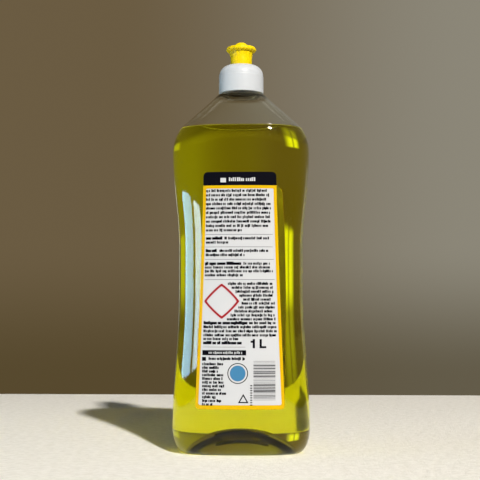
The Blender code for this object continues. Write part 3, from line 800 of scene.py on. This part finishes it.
def type_line(left, right, middle_z, height=TYPE_HEIGHT, weight=0.70):
    """Dashes from left to right, two or more to a word, a few of them tall or low."""
    marks = []
    pitch = TYPE_PITCH * height / TYPE_HEIGHT
    base = middle_z - height / 2
    x = left
    while x < right - pitch:
        for _ in range(int(random_type.integers(*WORD_DASHES))):
            if x > right - pitch:
                break
            tall = height * (TALL_HEIGHT if random_type.random() < TALL_SHARE else 1.0)
            drop = height * (LOW_DROP if random_type.random() < LOW_LETTERS else 0.0)
            thick = pitch * weight * (1.0 + THICK_SPREAD * random_type.random())
            marks.append((x, x + thick, base - drop, base + tall))
            x += pitch * (STEP_LEAST + STEP_SPREAD * random_type.random())
        x += pitch * WORD_GAP
    return marks


def photo_x(pixel):
    """Metres across the label for a column of the photograph."""
    return ((pixel - PHOTO_MIDDLE) * PIXEL * NEARNESS + LABEL_SHIFT) * MM


def photo_z(pixel):
    """Metres up the label for a row of the photograph."""
    return (EYE_LEVEL + ((PHOTO_FLOOR - pixel) * PIXEL - EYE_LEVEL) * NEARNESS) * MM


def photo_box(left, right, bottom, top):
    """A rectangle on the label from its edges in the photograph."""
    return (photo_x(left), photo_x(right), photo_z(bottom), photo_z(top))


def paragraph(lefts, rows, rights, **looks):
    """One line of marks for each row, between its left and right ends."""
    marks = []
    for left, row, right in np.broadcast(lefts, rows, rights):
        marks += type_line(photo_x(left), photo_x(right), photo_z(row), **looks)
    return marks


BOLD = {"weight": 1.0, "height": 1.75 * MM}
PLAIN = {}
TYPE_ROWS = (
    (206.0, np.linspace(190.6, 230.2, 10), [269, 270.5, 267.5, 271, 271.5, 271, 271, 271, 269, 243.5], PLAIN),
    (206.0, 238.3, 223.0, BOLD), (224.5, 238.3, 269.5, PLAIN), (206.0, 242.4, 230.5, PLAIN),
    (205.7, 250.8, 218.0, BOLD), (219.5, 250.8, 269.5, PLAIN), (205.7, 255.0, 245.5, PLAIN),
    (205.0, 263.6, 242.0, BOLD), (243.5, 263.6, 270.5, PLAIN),
    (205.0, [267.4, 271.2, 275.2], [271.5, 273.5, 244.5], PLAIN),
    ([228, 231.7, 235.6, 239.4, 243.2, 241.6, 238.4, 234.5, 230.7, 227], np.linspace(283.7, 319.0, 10),
     [273.5, 274, 273.5, 274, 271.5, 275, 276, 274, 275.5, 276], PLAIN),
    (203.8, 322.8, 247.5, BOLD), (249, 322.8, 276.5, PLAIN),
    (203.6, [326.8, 330.9, 334.9, 338.6], [276, 276.5, 276.5, 239.5], PLAIN),
    (203.4, 342.6, 242.5, BOLD), (208.8, 358.2, 246.0, PLAIN),
    (202.5, np.linspace(363.5, 403.3, 12),
     [223.5, 219.5, 219, 225, 224, 225.5, 225, 222.5, 227, 217, 223, 214], PLAIN))
type_marks = []
for *places, looks in TYPE_ROWS:
    type_marks += paragraph(*places, **looks)
bar_piece("label_type", BACK_LABEL, type_marks, dark_print)
header_marks = paragraph(229.0, 179.4, 256.0, weight=0.6, height=2.0 * MM)
header_marks += paragraph(209.0, 352.2, 243.5, weight=0.5, height=1.3 * MM)
header_marks.append(photo_box(220.5, 226.0, 182.0, 177.6))

# %% [markdown]
# Rules and bars are rectangles too, cut across so that they bend with the label. The round and
# cornered shapes are bands between two outlines.

# %% Rules, bars and shapes
RULE = 0.24 * MM
BAR_CUTS = 16
BAND_POINTS = 160
DISC_MIDDLE = 0.01 * MM
STRIPES = np.array([0.25, 0.2, 0.3, 0.9, 0.3, 0.8, 0.25, 0.7, 0.9, 0.2, 1.0, 0.3, 0.25, 0.3, 0.35, 0.25,
                    1.1, 0.3, 0.9, 0.35, 1.2, 0.4, 0.3, 0.5, 0.7, 0.3, 0.25]) * MM * 0.8


def rule(left, right, row, thickness=RULE):
    """A line of a given thickness along a row of the photograph."""
    return (photo_x(left), photo_x(right), photo_z(row) - thickness / 2, photo_z(row) + thickness / 2)


def long_bars(name, label, boxes, look):
    """Wide rectangles, each cut into narrow ones."""
    pieces = []
    for left, right, low, high in boxes:
        edges = np.linspace(left, right, BAR_CUTS + 1)
        pieces += [(a, b, low, high) for a, b in zip(edges[:-1], edges[1:])]
    bar_piece(name, label, pieces, look)


def outline_patch(name, place, inner, outer, power, look):
    """A band between two outlines |x|^p + |z|^p = r^p about a place on the back label. p of 2
    is round, and p near 1 is a square on its corner."""
    angle = full_turn(BAND_POINTS)
    radius = np.linspace(outer, max(inner, DISC_MIDDLE), 4)[:, None]
    x = photo_x(place[0]) + radius * signed_power(np.cos(angle), 2.0 / power)
    z = photo_z(place[1]) + radius * signed_power(np.sin(angle), 2.0 / power)
    seat(grid_mesh(name, label_point(BACK_LABEL, x, z, TYPE_LIFT)), look, "bottle", "label_film")


rules = [rule(205.5, 272.5, 234.3), rule(205.3, 272.5, 246.8), rule(205.0, 273.5, 259.3),
         rule(204.5, 274.5, 279.5), rule(203, 245.5, 346.5, 0.2 * MM),
         photo_box(202.6, 246.2, 354.7, 349.6), photo_box(202.3, 206.3, 360.2, 356.4)]
rules += [rule(253.4, 275.0, row, stripe)
          for row, stripe in zip(np.linspace(360.5, 398.5, len(STRIPES)), STRIPES)]
long_bars("label_rules", BACK_LABEL, rules, dark_print)
bar_piece("label_pale_marks", BACK_LABEL, header_marks, pale_print, TYPE_LIFT + LAYER)
ticks = [photo_box(250.2, 252.2, row + 1.1, row) for row in np.linspace(384.0, 403.0, 9)]
bar_piece("label_ticks", BACK_LABEL, ticks, dark_print)
outline_patch("label_rhomb", (221.8, 301.0), 10.3 * MM, 12.2 * MM, 1.12, red_print)
outline_patch("label_disc", (237.8, 372.5), 0.0, 5.4 * MM, 2.0, blue_print)
outline_patch("label_disc_ring", (237.8, 372.5), 6.5 * MM, 7.1 * MM, 2.0, dark_print)

# %% [markdown]
# A plain triangle outline is a band of three corners, cut finely enough to bend with the film.

# %% Triangle
TRIANGLE_RADII = (4.2 * MM, 2.6 * MM)
SIDE_CUTS = 24

corner = np.radians([90.0, 210.0, 330.0, 450.0])
tips = np.stack([np.cos(corner), np.sin(corner)], 1)
along = np.linspace(0.0, 1.0, SIDE_CUTS, endpoint=False)
edge = tips[:-1, None] + (tips[1:, None] - tips[:-1, None]) * along[None, :, None]
edge = edge.reshape(1, -1, 2) * np.array(TRIANGLE_RADII)[:, None, None]
triangle = label_point(BACK_LABEL, photo_x(243.3) + edge[..., 0], photo_z(398.6) + edge[..., 1], TYPE_LIFT)
seat(grid_mesh("label_triangle", triangle), dark_print, "bottle", "label_film")

# %% [markdown]
# The volume mark is a plain number and unit. Two upright strokes, a flag and a foot make it, so
# no typeface is needed.

# %% Volume mark
STROKE = 1.6 * MM
FLAG_REACH, FLAG_LOW, FLAG_HIGH = 1.4 * MM, 2.5 * MM, 1.1 * MM
FOOT_REACH, FOOT_HEIGHT = 4.6 * MM, 1.4 * MM

one_x, ell_x, mark_low, mark_high = photo_box(252.6, 259.4, 347.6, 338.6)
volume_boxes = [(one_x, one_x + STROKE, mark_low, mark_high),
                (one_x - FLAG_REACH, one_x, mark_high - FLAG_LOW, mark_high - FLAG_HIGH),
                (ell_x, ell_x + STROKE, mark_low, mark_high),
                (ell_x + STROKE, ell_x + FOOT_REACH, mark_low, mark_low + FOOT_HEIGHT)]
bar_piece("label_volume_mark", BACK_LABEL, volume_boxes, dark_print)

# %% [markdown]
# The front label faces away from the photograph. It has the same inks and no words: a dark band,
# a pale panel with round corners, a bare name plate, and a foot of small print.

# %% Front face
BAND_LOW = 172.0 * MM
FRONT_PANEL = (62.0 * MM, 168.0 * MM)
FRONT_PLATE = (118.0 * MM, 146.0 * MM)
PLATE_INSET = 7.0 * MM
SMALL_ROWS = np.arange(70.0, 84.0, 3.1)
LARGE_ROWS = (102.0, 108.0)
FRONT_BARS = {"front_rules": ((17.0, 89.0, 89.5), (14.0, 154.0, 156.0)),
              "front_foot": ((16.0, 50.0, 51.2), (16.0, 46.0, 47.2))}

patch("front_band", FRONT_LABEL, (BAND_LOW, FRONT_LABEL["top"]), (0.3 * MM, FRONT_LABEL["corner"]),
      1.0, dark_print)
patch("front_panel", FRONT_LABEL, FRONT_PANEL, (4.0 * MM, 4.0 * MM), 1.0, pale_print, BORDER)
patch("front_plate", FRONT_LABEL, FRONT_PLATE, (6.0 * MM, 6.0 * MM), 2.0, yellow_print, PLATE_INSET)
front_marks = []
for row_z in SMALL_ROWS:
    front_marks += type_line(-17.0 * MM, 17.0 * MM, row_z * MM)
for row_z in LARGE_ROWS:
    front_marks += type_line(-15.0 * MM, 15.0 * MM, row_z * MM, height=3.0 * MM, weight=0.45)
bar_piece("front_type", FRONT_LABEL, front_marks, dark_print)
for name, bars in FRONT_BARS.items():
    boxes = [(-half * MM, half * MM, low * MM, high * MM) for half, low, high in bars]
    long_bars(name, FRONT_LABEL, boxes, dark_print)

# %% [markdown]
# The cap is one turned moulding. Its skirt runs up to a hair-wide step, and its shoulder is an
# ellipse that ends at the hole for the spout. Inside are the thread, the well and the chimney
# with its bead.

# %% Cap
CAP_SEAT = LEDGE_HEIGHT + 0.4 * MM
CAP_RADIUS = 16.15 * MM
CAP_STEP = 0.20 * MM
CAP_SKIRT_HEIGHT = 12.8 * MM
CAP_SHOULDER_HEIGHT = 8.0 * MM
CAP_INNER_RADIUS = 14.0 * MM
CAP_EDGE = 0.4 * MM
CAP_HOLE_LIP = 0.5 * MM
CAP_THREAD_DEPTH = 1.1 * MM
CAP_THREAD_BASE = 1.5 * MM
CAP_THREAD_CREST = 0.7 * MM
CAP_THREAD_DROP = 1.5 * MM
CAP_THREAD_FIRST = 0.25
CAP_THREAD_TURNS = 1.25
WELL_WALL = 1.2 * MM
WELL_DEPTH = 11.5 * MM
CHIMNEY_HEIGHT = 20.0 * MM
CHIMNEY_BORE = 4.65 * MM
CHIMNEY_RADIUS = 5.85 * MM
BEAD_RADIUS = 6.45 * MM
BEAD_HEIGHT = 1.2 * MM
STEM_RADIUS = 7.8 * MM
HOLE_RADIUS = 8.1 * MM
SKIRT_TOP = CAP_SEAT + CAP_SKIRT_HEIGHT
CAP_TOP = SKIRT_TOP + CAP_SHOULDER_HEIGHT
WELL_FLOOR = CAP_TOP - WELL_DEPTH
CHIMNEY_TOP = WELL_FLOOR + CHIMNEY_HEIGHT
ROOF = NECK_LIP + 1.6 * MM
CAP_STEPS = 144
THREADED_ROWS = 60
SHADE_PAINTED_ROWS = THREADED_ROWS + 4


def cap_outside():
    """From the hole's lip over the shoulder, its step, the skirt and the rim."""
    crown = HOLE_RADIUS + CAP_HOLE_LIP
    hole = arc_rows((crown, CAP_TOP - 0.3 * MM), (CAP_HOLE_LIP, 0.3 * MM), 180.0, 95.0, 5)
    shoulder = arc_rows((crown, SKIRT_TOP + 0.2 * MM),
                        (CAP_RADIUS - CAP_STEP - crown, CAP_SHOULDER_HEIGHT - 0.2 * MM), 90.0, 0.0, 32)
    step = arc_rows((CAP_RADIUS - CAP_STEP, SKIRT_TOP - CAP_STEP), CAP_STEP, 80.0, 0.0, 4)
    skirt = [(CAP_RADIUS, SKIRT_TOP - 1.0 * MM), (CAP_RADIUS, CAP_SEAT + 2.0 * CAP_EDGE)]
    rim = arc_rows((CAP_RADIUS - CAP_EDGE, CAP_SEAT + CAP_EDGE), CAP_EDGE, 0.0, -90.0, 6)
    inner_rim = [(CAP_INNER_RADIUS + CAP_EDGE, CAP_SEAT), (CAP_INNER_RADIUS, CAP_SEAT + CAP_EDGE)]
    return turned_grid(np.vstack([hole, shoulder, step, skirt, rim, inner_rim]), CAP_STEPS)


def cap_inside():
    """Up the threaded wall, across the roof, round the well and the chimney, to the hole."""
    wall = np.linspace((CAP_INNER_RADIUS, CAP_SEAT + 2.0 * CAP_EDGE), (CAP_INNER_RADIUS, ROOF - 0.6 * MM),
                       THREADED_ROWS)
    thread_start = THREAD_START + CAP_THREAD_FIRST * THREAD_PITCH - CAP_THREAD_DROP
    threaded = thread_relief(turned_grid(wall, CAP_STEPS), -CAP_THREAD_DEPTH, CAP_THREAD_BASE,
                             CAP_THREAD_CREST, thread_start, CAP_THREAD_FIRST, CAP_THREAD_TURNS)
    well_outer = HOLE_RADIUS + WELL_WALL
    well_under = WELL_FLOOR - WELL_WALL
    bead_top = CHIMNEY_TOP - 0.4 * MM
    under = [(CAP_INNER_RADIUS - 0.4 * MM, ROOF), (well_outer, ROOF), (well_outer, well_under),
             (CHIMNEY_BORE, well_under), (CHIMNEY_BORE, CHIMNEY_TOP), (CHIMNEY_RADIUS, CHIMNEY_TOP),
             (BEAD_RADIUS, bead_top), (BEAD_RADIUS, bead_top - BEAD_HEIGHT),
             (CHIMNEY_RADIUS, bead_top - BEAD_HEIGHT), (CHIMNEY_RADIUS, WELL_FLOOR),
             (HOLE_RADIUS, WELL_FLOOR)]
    return np.vstack([threaded, turned_grid(under, CAP_STEPS)])


cap = grid_mesh("cap_shell", np.vstack([cap_outside(), cap_inside()]), looped=True, flip=True)
cap.data.set_sharp_from_angle(angle=math.radians(40.0))

# %% [markdown]
# White moulded plastic lets a little light in, which softens its shadows. It has a very fine
# grain, and slow, faint changes of shade from the mould.

# %% White plastic
SHADE_SCALE = 90.0
white = Finish("white_moulding", Roughness=0.42, Specular_IOR_Level=0.3, Subsurface_Weight=0.15,
               Subsurface_Scale=1.0 * MM, Subsurface_Radius=(1.0, 0.9, 0.8))
white.paint(white.noise(SHADE_SCALE), (0.475, 0.505, 0.55), (0.505, 0.535, 0.58))
white.bump(white.noise(700.0), 0.05, 0.1 * MM)
seat(cap, white.material, "closure", "white_cap", "cap")

# %% [markdown]
# No daylight reaches the cap's inside, which shows dark through the clear shoulder. Its faces from
# the rim up to the roof and down round the well are painted a deep brown as painted shade.

# %% Shaded inside
# Painted shade: the white plastic's inside faces get a deep brown instead of their own colour.
shaded = Finish("painted_shade_moulding", Roughness=0.6, Specular_IOR_Level=0.1)
shaded.paint(shaded.noise(SHADE_SCALE), (0.075, 0.050, 0.012), (0.095, 0.065, 0.018))
row_of_face = np.arange(len(cap.data.polygons)) // CAP_STEPS
inside_start = len(cap_outside()) - 1
hidden = (row_of_face >= inside_start) & (row_of_face < inside_start + SHADE_PAINTED_ROWS)
second_look(cap, shaded.material, hidden)
print("shaded faces:", int(hidden.sum()))

# %% [markdown]
# The pin stands on three spokes in the chimney and plugs the spout's orifice. A spoke's section is
# a tall ellipse, and it reaches from the pin into the wall.

# %% Pin and spokes
PIN_RADIUS = 1.7 * MM
PIN_TIP = 294.2 * MM
PIN_ROUND = 0.5 * MM
PIN_DROP = 7.0 * MM
PIN_FOOT = CHIMNEY_TOP - PIN_DROP
SPOKE_WIDTH = 1.1 * MM
SPOKE_HEIGHT = 3.6 * MM
SPOKE_DROP = 3.2 * MM
SPOKE_MIDDLE = CHIMNEY_TOP - SPOKE_DROP - SPOKE_HEIGHT / 2
SPOKE_POINTS = 24
PIN_STEPS = 48

tip = arc_rows((PIN_RADIUS - PIN_ROUND, PIN_TIP - PIN_ROUND), PIN_ROUND, 0.0, 80.0, 5)
pin_rows = np.vstack([[(PIN_RADIUS, PIN_FOOT), (PIN_RADIUS, PIN_TIP - 2.0 * PIN_ROUND)], tip])
pin = grid_mesh("cap_pin", turned_grid(pin_rows, PIN_STEPS), poles=((0, 0, PIN_FOOT), (0, 0, PIN_TIP)))
seat(pin, white.material, "closure", "white_cap")


def spoke_grid(angle):
    """An ellipse section carried along a radius at an angle."""
    turn = full_turn(SPOKE_POINTS)
    out = np.linspace(PIN_RADIUS / 2, CHIMNEY_BORE + 0.2 * MM, 6)[:, None]
    side = SPOKE_WIDTH / 2 * np.cos(turn)
    return points_of(out * math.cos(angle) - side * math.sin(angle),
                     out * math.sin(angle) + side * math.cos(angle),
                     SPOKE_MIDDLE + SPOKE_HEIGHT / 2 * np.sin(turn))


for number in range(3):
    grid = spoke_grid(math.radians(30.0 + 120.0 * number))
    ends = grid.mean(axis=1)
    spoke = grid_mesh(f"cap_spoke_{number + 1}", grid, poles=(ends[0], ends[-1]))
    seat(spoke, white.material, "closure", "white_cap")

# %% [markdown]
# The spout is one yellow moulding with a fluted flare, like a cook's hat. The flutes are a
# cosine of sixteen times the angle, deepest at the rim and gone at the stem and on the top.

# %% Spout
SPOUT_SEAT = WELL_FLOOR + 0.3 * MM
STEM_CHAMFER = 0.3 * MM
FLARE_START = SPOUT_SEAT + 16.2 * MM
FLARE_RIM = FLARE_START + 6.6 * MM
FLARE_LIP = 9.0 * MM
FLARE_LIP_DEPTH = 1.95 * MM
FLARE_LIP_DROP = 1.4 * MM
FLARE_LIP_RISE = 2.1 * MM
FLARE_CURVE_POWER = 1.7
FLUTE_COUNT = 16
FLUTE_DEPTH = 0.4 * MM
DOME_RADIUS = 4.7 * MM
DOME_FOOT = FLARE_RIM + 2.9 * MM
DOME_HEIGHT = 2.8 * MM
DOME_END = 64.8
ORIFICE = 2.0 * MM
ORIFICE_LENGTH = 1.8 * MM
HOLLOW_RADIUS = 3.6 * MM
HOLLOW_DROP = 1.1 * MM
SPOUT_BORE = 6.8 * MM
RING_RADIUS = 6.15 * MM
RING_TOP = SPOUT_SEAT + 11.8 * MM
RING_HEIGHT = 1.5 * MM
SPOUT_STEPS = 256


def fluted(rows, depth):
    """Adds the flute's depth to rows of radius and height."""
    rows = np.asarray(rows, float)
    return np.column_stack([rows, np.broadcast_to(depth, len(rows))])


def spout_outside():
    """Up the stem, out under the flare, round its lip, and over the dome to the orifice."""
    stem = [(STEM_RADIUS - STEM_CHAMFER, SPOUT_SEAT), (STEM_RADIUS, SPOUT_SEAT + STEM_CHAMFER),
            (STEM_RADIUS, FLARE_START)]
    share = np.linspace(0.0, 1.0, 20)[1:]
    under = np.stack([STEM_RADIUS + (FLARE_LIP - STEM_RADIUS) * share ** FLARE_CURVE_POWER,
                      FLARE_START + (FLARE_RIM - FLARE_LIP_DROP - FLARE_START) * share], 1)
    low = arc_rows((FLARE_LIP, FLARE_RIM), (FLARE_LIP_DEPTH, FLARE_LIP_DROP), -80.0, 0.0, 9)
    high = arc_rows((FLARE_LIP, FLARE_RIM), (FLARE_LIP_DEPTH, FLARE_LIP_RISE), 10.0, 90.0, 10)
    slope = np.linspace(high[-1], (DOME_RADIUS + 0.2 * MM, DOME_FOOT), 8)[1:]
    dome = arc_rows((0.0, DOME_FOOT), (DOME_RADIUS, DOME_HEIGHT), 6.0, DOME_END, 16)
    left = (FLARE_RIM + FLARE_LIP_RISE - high[:, 1]) / FLARE_LIP_RISE
    return np.vstack([fluted(stem, 0.0), fluted(under, FLUTE_DEPTH * share), fluted(low, FLUTE_DEPTH),
                      fluted(high, FLUTE_DEPTH * left), fluted(slope, 0.0), fluted(dome, 0.0)])


def spout_inside():
    """Down the orifice and the head's hollow to the stem's bore and its retaining ring."""
    top = DOME_FOOT + DOME_HEIGHT * math.sin(math.radians(DOME_END))
    inside = [(ORIFICE, top - 0.2 * MM), (ORIFICE, top - ORIFICE_LENGTH),
              (HOLLOW_RADIUS, DOME_FOOT - HOLLOW_DROP), (SPOUT_BORE, FLARE_RIM - 0.1 * MM),
              (SPOUT_BORE, RING_TOP), (RING_RADIUS, RING_TOP),
              (RING_RADIUS, RING_TOP - RING_HEIGHT / 2), (SPOUT_BORE, RING_TOP - RING_HEIGHT),
              (SPOUT_BORE, SPOUT_SEAT)]
    return fluted(inside, 0.0)


rows = np.vstack([spout_outside(), spout_inside()])
angle = full_turn(SPOUT_STEPS)
radius, z, depth = np.split(rows, 3, axis=1)
radius = radius - depth * (0.5 - 0.5 * np.cos(FLUTE_COUNT * angle))
spout_grid = points_of(radius * np.cos(angle), radius * np.sin(angle), z)
spout = grid_mesh("spout_head", spout_grid, looped=True)
spout.data.set_sharp_from_angle(angle=SHARP_ANGLE)
yellow = Finish("yellow_moulding", Roughness=0.45, Specular_IOR_Level=0.12)
yellow.paint(yellow.noise(SHADE_SCALE), (0.72, 0.53, 0.001), (0.77, 0.575, 0.001))
seat(spout, yellow.material, "spout", "yellow_spout", "spout")

# %% [markdown]
# The seal wad is a ring of pressed foam, hidden in the cap, so the frame's own ring stays and
# takes a matt finish with fine cells.

# %% Seal wad
CELL_SCALE = 1500.0

foam = Finish("wad_foam", Roughness=0.85)
foam.paint(foam.noise(CELL_SCALE), (0.74, 0.74, 0.70), (0.84, 0.84, 0.80))
foam.bump(foam.noise(CELL_SCALE), 0.3, 0.1 * MM)
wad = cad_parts["seal_wad"]
wad.data.materials.clear()
wad.data.materials.append(foam.material)
print("seal wad:", len(wad.data.polygons), "faces")
